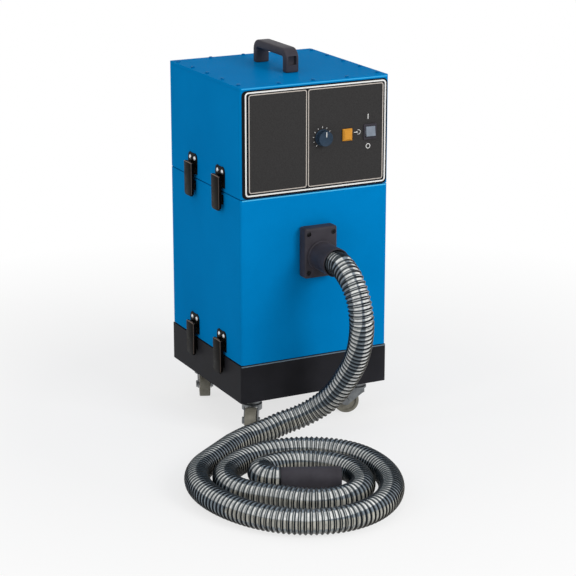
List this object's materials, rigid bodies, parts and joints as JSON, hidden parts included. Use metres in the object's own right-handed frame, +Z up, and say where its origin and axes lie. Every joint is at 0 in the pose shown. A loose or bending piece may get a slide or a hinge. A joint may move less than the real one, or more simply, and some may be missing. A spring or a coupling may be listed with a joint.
{
  "type": "mobile welding fume extractor",
  "caption": "Mobile welding fume extractor: latched steel cabinet on swivel casters with a carry handle, control panel, front inlet and a coiled ribbed suction hose.",
  "frame": {"origin": "on the floor, under the centre of the machine's bounding box without the hose", "axes": "+Z up, the front with the control panel and the inlet towards -Y, +X to the machine's right as seen from the front"},
  "size_m": [0.5368, 0.8086, 0.7153],
  "materials": {
    "blue_paint": "satin",
    "black_paint": "satin",
    "black_plastic": "satin",
    "grey_rubber": "matt",
    "foam_rubber": "matt",
    "bright_zinc": "semi-bright",
    "wheel_grey": "satin",
    "panel_black": "satin",
    "lamp_amber": "gloss",
    "hose_clear": "gloss",
    "filter_paper": "matt",
    "galvanised_steel": "satin",
    "cast_aluminium": "as cast",
    "latch_black": "semi-gloss",
    "knob_grey": "satin"
  },
  "bodies": {
    "cabinet": {"base_tray": "black_paint", "lower_gasket": "foam_rubber", "upper_gasket": "foam_rubber", "filter_housing": "blue_paint", "motor_housing": "blue_paint", "top_cover": "blue_paint", "carry_handle": "black_plastic", "control_panel": "panel_black", "switch_bezel": "black_plastic", "filter_lamp": "lamp_amber", "speed_control": "black_plastic", "inlet_flange": "black_plastic", "inlet_baffle": "galvanised_steel", "filter_cartridge": "filter_paper", "filter_tie_rod": "bright_zinc", "motor_deck": "galvanised_steel", "blower_casing": "cast_aluminium", "motor_can": "cast_aluminium", "exhaust_foam": "foam_rubber", "exhaust_grille": "black_paint", "power_inlet": "black_plastic", "caster_plate_front_left": "bright_zinc", "caster_plate_front_right": "bright_zinc", "caster_plate_rear_left": "bright_zinc", "caster_plate_rear_right": "bright_zinc", "hose_lead": "hose_clear", "hose_coil": "hose_clear", "hose_tail": "hose_clear", "hose_cuff": "grey_rubber"},
    "impeller": {"impeller": "cast_aluminium"},
    "swivel_front_left": {"caster_fork_front_left": "bright_zinc", "caster_axle_front_left": "bright_zinc"},
    "wheel_front_left": {"wheel_front_left": "wheel_grey"},
    "swivel_front_right": {"caster_fork_front_right": "bright_zinc", "caster_axle_front_right": "bright_zinc"},
    "wheel_front_right": {"wheel_front_right": "wheel_grey"},
    "swivel_rear_left": {"caster_fork_rear_left": "bright_zinc", "caster_axle_rear_left": "bright_zinc"},
    "wheel_rear_left": {"wheel_rear_left": "wheel_grey"},
    "swivel_rear_right": {"caster_fork_rear_right": "bright_zinc", "caster_axle_rear_right": "bright_zinc"},
    "wheel_rear_right": {"wheel_rear_right": "wheel_grey"},
    "speed_knob": {"speed_knob": "knob_grey"},
    "power_rocker": {"power_rocker": "black_plastic"},
    "lever_lower_left_front": {"lever_lower_left_front": "latch_black"},
    "hook_lower_left_front": {"hook_lower_left_front": "latch_black"},
    "lever_lower_left_rear": {"lever_lower_left_rear": "latch_black"},
    "hook_lower_left_rear": {"hook_lower_left_rear": "latch_black"},
    "lever_lower_right_front": {"lever_lower_right_front": "latch_black"},
    "hook_lower_right_front": {"hook_lower_right_front": "latch_black"},
    "lever_lower_right_rear": {"lever_lower_right_rear": "latch_black"},
    "hook_lower_right_rear": {"hook_lower_right_rear": "latch_black"},
    "lever_upper_left_front": {"lever_upper_left_front": "latch_black"},
    "hook_upper_left_front": {"hook_upper_left_front": "latch_black"},
    "lever_upper_left_rear": {"lever_upper_left_rear": "latch_black"},
    "hook_upper_left_rear": {"hook_upper_left_rear": "latch_black"},
    "lever_upper_right_front": {"lever_upper_right_front": "latch_black"},
    "hook_upper_right_front": {"hook_upper_right_front": "latch_black"},
    "lever_upper_right_rear": {"lever_upper_right_rear": "latch_black"},
    "hook_upper_right_rear": {"hook_upper_right_rear": "latch_black"}
  },
  "joints": [
    {"name": "impeller_spin", "type": "hinge", "parent": "cabinet", "child": "impeller", "pos_m": [0, 0.041, 0.5], "axis": [0, 0, 1], "continuous": true},
    {"name": "swivel_front_left_turn", "type": "hinge", "parent": "cabinet", "child": "swivel_front_left", "pos_m": [-0.113, -0.076, 0.054], "axis": [0, 0, 1], "continuous": true},
    {"name": "wheel_front_left_spin", "type": "hinge", "parent": "swivel_front_left", "child": "wheel_front_left", "pos_m": [-0.12345, -0.09305, 0.025], "axis": [0.8526, -0.5225, 0], "continuous": true},
    {"name": "swivel_front_right_turn", "type": "hinge", "parent": "cabinet", "child": "swivel_front_right", "pos_m": [0.113, -0.076, 0.054], "axis": [0, 0, 1], "continuous": true},
    {"name": "wheel_front_right_spin", "type": "hinge", "parent": "swivel_front_right", "child": "wheel_front_right", "pos_m": [0.09518, -0.06692, 0.025], "axis": [-0.454, -0.891, 0], "continuous": true},
    {"name": "swivel_rear_left_turn", "type": "hinge", "parent": "cabinet", "child": "swivel_rear_left", "pos_m": [-0.106, 0.158, 0.054], "axis": [0, 0, 1], "continuous": true},
    {"name": "wheel_rear_left_spin", "type": "hinge", "parent": "swivel_rear_left", "child": "wheel_rear_left", "pos_m": [-0.11365, 0.13952, 0.025], "axis": [0.9239, -0.3827, 0], "continuous": true},
    {"name": "swivel_rear_right_turn", "type": "hinge", "parent": "cabinet", "child": "swivel_rear_right", "pos_m": [0.106, 0.158, 0.054], "axis": [0, 0, 1], "continuous": true},
    {"name": "wheel_rear_right_spin", "type": "hinge", "parent": "swivel_rear_right", "child": "wheel_rear_right", "pos_m": [0.08962, 0.14653, 0.025], "axis": [0.5736, -0.8192, 0], "continuous": true},
    {"name": "speed_knob_turn", "type": "hinge", "parent": "cabinet", "child": "speed_knob", "pos_m": [0.014, -0.1173, 0.56425], "axis": [0, -1, 0], "range_deg": [-140, 140]},
    {"name": "power_rocker_tilt", "type": "hinge", "parent": "cabinet", "child": "power_rocker", "pos_m": [0.113, -0.1188, 0.56625], "axis": [1, 0, 0], "range_deg": [0, 16]},
    {"name": "lever_lower_left_front_swing", "type": "hinge", "parent": "cabinet", "child": "lever_lower_left_front", "pos_m": [-0.1615, -0.03, 0.17], "axis": [0, 1, 0], "range_deg": [0, 75]},
    {"name": "hook_lower_left_front_turn", "type": "hinge", "parent": "lever_lower_left_front", "child": "hook_lower_left_front", "pos_m": [-0.1615, -0.03, 0.174], "axis": [0, 1, 0], "range_deg": [-68.6, 0]},
    {"name": "lever_lower_left_rear_swing", "type": "hinge", "parent": "cabinet", "child": "lever_lower_left_rear", "pos_m": [-0.1615, 0.093, 0.17], "axis": [0, 1, 0], "range_deg": [0, 75]},
    {"name": "hook_lower_left_rear_turn", "type": "hinge", "parent": "lever_lower_left_rear", "child": "hook_lower_left_rear", "pos_m": [-0.1615, 0.093, 0.174], "axis": [0, 1, 0], "range_deg": [-68.6, 0]},
    {"name": "lever_lower_right_front_swing", "type": "hinge", "parent": "cabinet", "child": "lever_lower_right_front", "pos_m": [0.1615, -0.03, 0.17], "axis": [0, -1, 0], "range_deg": [0, 75]},
    {"name": "hook_lower_right_front_turn", "type": "hinge", "parent": "lever_lower_right_front", "child": "hook_lower_right_front", "pos_m": [0.1615, -0.03, 0.174], "axis": [0, -1, 0], "range_deg": [-68.6, 0]},
    {"name": "lever_lower_right_rear_swing", "type": "hinge", "parent": "cabinet", "child": "lever_lower_right_rear", "pos_m": [0.1615, 0.093, 0.17], "axis": [0, -1, 0], "range_deg": [0, 75]},
    {"name": "hook_lower_right_rear_turn", "type": "hinge", "parent": "lever_lower_right_rear", "child": "hook_lower_right_rear", "pos_m": [0.1615, 0.093, 0.174], "axis": [0, -1, 0], "range_deg": [-68.6, 0]},
    {"name": "lever_upper_left_front_swing", "type": "hinge", "parent": "cabinet", "child": "lever_upper_left_front", "pos_m": [-0.1615, -0.03, 0.489], "axis": [0, 1, 0], "range_deg": [0, 75]},
    {"name": "hook_upper_left_front_turn", "type": "hinge", "parent": "lever_upper_left_front", "child": "hook_upper_left_front", "pos_m": [-0.1615, -0.03, 0.493], "axis": [0, 1, 0], "range_deg": [-68.6, 0]},
    {"name": "lever_upper_left_rear_swing", "type": "hinge", "parent": "cabinet", "child": "lever_upper_left_rear", "pos_m": [-0.1615, 0.093, 0.489], "axis": [0, 1, 0], "range_deg": [0, 75]},
    {"name": "hook_upper_left_rear_turn", "type": "hinge", "parent": "lever_upper_left_rear", "child": "hook_upper_left_rear", "pos_m": [-0.1615, 0.093, 0.493], "axis": [0, 1, 0], "range_deg": [-68.6, 0]},
    {"name": "lever_upper_right_front_swing", "type": "hinge", "parent": "cabinet", "child": "lever_upper_right_front", "pos_m": [0.1615, -0.03, 0.489], "axis": [0, -1, 0], "range_deg": [0, 75]},
    {"name": "hook_upper_right_front_turn", "type": "hinge", "parent": "lever_upper_right_front", "child": "hook_upper_right_front", "pos_m": [0.1615, -0.03, 0.493], "axis": [0, -1, 0], "range_deg": [-68.6, 0]},
    {"name": "lever_upper_right_rear_swing", "type": "hinge", "parent": "cabinet", "child": "lever_upper_right_rear", "pos_m": [0.1615, 0.093, 0.489], "axis": [0, -1, 0], "range_deg": [0, 75]},
    {"name": "hook_upper_right_rear_turn", "type": "hinge", "parent": "lever_upper_right_rear", "child": "hook_upper_right_rear", "pos_m": [0.1615, 0.093, 0.493], "axis": [0, -1, 0], "range_deg": [-68.6, 0]}
  ],
  "couplings": [
    {"joint": "hook_lower_left_front_turn", "follows": "lever_lower_left_front_swing", "ratio": -0.914},
    {"joint": "hook_lower_left_rear_turn", "follows": "lever_lower_left_rear_swing", "ratio": -0.914},
    {"joint": "hook_lower_right_front_turn", "follows": "lever_lower_right_front_swing", "ratio": -0.914},
    {"joint": "hook_lower_right_rear_turn", "follows": "lever_lower_right_rear_swing", "ratio": -0.914},
    {"joint": "hook_upper_left_front_turn", "follows": "lever_upper_left_front_swing", "ratio": -0.914},
    {"joint": "hook_upper_left_rear_turn", "follows": "lever_upper_left_rear_swing", "ratio": -0.914},
    {"joint": "hook_upper_right_front_turn", "follows": "lever_upper_right_front_swing", "ratio": -0.914},
    {"joint": "hook_upper_right_rear_turn", "follows": "lever_upper_right_rear_swing", "ratio": -0.914}
  ]
}
